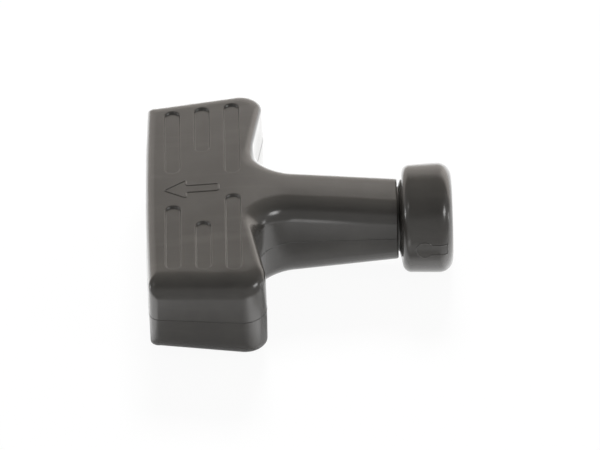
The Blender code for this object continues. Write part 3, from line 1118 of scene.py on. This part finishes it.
def stage_sheet(name, size, place, turn, material):
    """Flat sheet that belongs to the studio, not to the handle."""
    mesh = bmesh.new()
    bmesh.ops.create_grid(mesh, x_segments=1, y_segments=1, size=0.5)
    bmesh.ops.scale(mesh, vec=(*size, 1), verts=mesh.verts[:])
    data = bpy.data.meshes.new(name)
    mesh.to_mesh(data)
    mesh.free()
    data.materials.append(material)
    sheet = linked(name, data)
    sheet.location = place
    sheet.rotation_euler = turn
    return sheet


def sheet_axes(tree):
    """A sheet's own x and y, over its surface."""
    place = tree.nodes.new("ShaderNodeTexCoord")
    split = tree.nodes.new("ShaderNodeSeparateXYZ")
    tree.links.new(place.outputs["Object"], split.inputs["Vector"])
    return split.outputs["X"], split.outputs["Y"]


def back_wall():
    """White wall behind the handle, which only its reflections show."""
    material, tree = new_material("white_wall")
    tree.nodes.remove(tree.nodes["Principled BSDF"])
    across, up = sheet_axes(tree)
    from_dip = math_node(tree, "ABSOLUTE", math_node(tree, "ADD", across, -WALL_DIP_X))
    shift = smooth_step(tree, from_dip, 0.0, WALL_DIP_REACH, *WALL_DIP_SHIFTS)
    height = math_node(tree, "ADD", up, WALL_HEIGHT / 2)
    height = math_node(tree, "ADD", height, shift)
    brightest = WALL_BRIGHT_GAIN * WALL_RADIANCE
    bright = smooth_step(tree, across, *WALL_BRIGHT_RANGE, WALL_RADIANCE, brightest)
    dim = smooth_step(tree, height, *WALL_FADE_RANGE)
    glow = tree.nodes.new("ShaderNodeEmission")
    glow.inputs["Color"].default_value = WARM_WHITE
    tree.links.new(blend(tree, dim, bright, ROOF_RADIANCE), glow.inputs["Strength"])
    tree.links.new(glow.outputs["Emission"], tree.nodes["Material Output"].inputs["Surface"])
    turn = (math.radians(90), 0, 0)
    place = (0, WALL_DISTANCE, WALL_HEIGHT / 2)
    wall = stage_sheet("back_wall", (WALL_WIDTH, WALL_HEIGHT), place, turn, material)
    wall.visible_camera = False
    wall.visible_diffuse = False
    wall.visible_shadow = False
    wall.visible_transmission = False


def painted_pool_gain(tree, across, along):
    """Painted pools of light: how much brighter than white each place of the floor is where the
    handle mirrors it.
    """
    under = smooth_step(tree, along, *UNDER_POOL_Y, 0.0, UNDER_GAIN)
    behind = smooth_step(tree, along, *BEHIND_POOL_Y, 0.0, BEHIND_GAIN)
    fade = smooth_step(tree, across, *BEHIND_FADE_X, 1.0, BEHIND_FADE_SHARE)
    behind = math_node(tree, "MULTIPLY", behind, fade)
    left = smooth_step(tree, across, *LEFT_POOL_X, SIDE_GAIN, 0.0)
    front = smooth_step(tree, across, *FRONT_POOL_X, 0.0, SIDE_GAIN)
    short_of_handle = smooth_step(tree, along, *FRONT_POOL_END_Y, 1.0, 0.0)
    short_of_collar = smooth_step(tree, across, *FRONT_POOL_END_X, 1.0, 0.0)
    for limit in (short_of_handle, short_of_collar):
        front = math_node(tree, "MULTIPLY", front, limit)
    pools = left
    for pool in (front, under, behind):
        pools = math_node(tree, "MAXIMUM", pools, pool)
    return pools


def studio_floor():
    """Large white floor that keeps a faint shadow, with painted pools of light and painted shade
    where the handle mirrors it.
    """
    material, tree = new_material("white_floor")
    shader = tree.nodes["Principled BSDF"]
    shader.inputs["Base Color"].default_value = FLOOR_COLOUR
    shader.inputs["Roughness"].default_value = FLOOR_ROUGHNESS
    shader.inputs["Specular IOR Level"].default_value = 0.0
    across, along = sheet_axes(tree)
    seen = tree.nodes.new("ShaderNodeLightPath")
    mirrored = math_node(
        tree, "MAXIMUM", seen.outputs["Is Glossy Ray"], seen.outputs["Is Transmission Ray"]
    )

    # White mixed with the shaded floor; in reflections this white carries the painted pools of
    # light
    white = tree.nodes.new("ShaderNodeEmission")
    gain = math_node(tree, "MULTIPLY", mirrored, painted_pool_gain(tree, across, along))
    tree.links.new(math_node(tree, "ADD", gain, 1.0), white.inputs["Strength"])
    share = math_node(
        tree, "MAXIMUM",
        math_node(tree, "MULTIPLY", seen.outputs["Is Camera Ray"], FLOOR_WHITE_SHARE),
        math_node(tree, "MULTIPLY", mirrored, FLOOR_MIRROR_SHARE),
    )
    mix = tree.nodes.new("ShaderNodeMixShader")
    tree.links.new(share, mix.inputs["Fac"])
    tree.links.new(shader.outputs["BSDF"], mix.inputs[1])
    tree.links.new(white.outputs["Emission"], mix.inputs[2])

    # Painted shade: past a line in front of the handle, reflections see the floor painted as dim
    # as the room
    closer = smooth_step(tree, across, *MIRROR_SHADE_SHIFT_X, 0.0, MIRROR_SHADE_SHIFT)
    ahead = math_node(tree, "SUBTRACT", along, closer)
    beyond = smooth_step(tree, ahead, *MIRROR_SHADE_Y, 1.0, 0.0)
    painted_shade_share = math_node(tree, "MULTIPLY", beyond, seen.outputs["Is Glossy Ray"])
    room = tree.nodes.new("ShaderNodeEmission")
    room.inputs["Strength"].default_value = ROOM_RADIANCE
    shaded_mirror = tree.nodes.new("ShaderNodeMixShader")
    tree.links.new(painted_shade_share, shaded_mirror.inputs["Fac"])
    tree.links.new(mix.outputs["Shader"], shaded_mirror.inputs[1])
    tree.links.new(room.outputs["Emission"], shaded_mirror.inputs[2])
    tree.links.new(shaded_mirror.outputs["Shader"], tree.nodes["Material Output"].inputs["Surface"])
    stage_sheet("floor", (FLOOR_SIZE, FLOOR_SIZE), (0, 0, 0), (0, 0, 0), material)


plastic = black_plastic()
handle = moulding(plastic)
handle.data.materials.clear()
handle.data.materials.append(plastic)
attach(handle, "root")
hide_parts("handle")

studio_floor()
back_wall()
world_light()
for lamp in LAMPS:
    softbox(lamp)
aim_camera()
bpy.context.scene.view_settings.view_transform = "Standard"
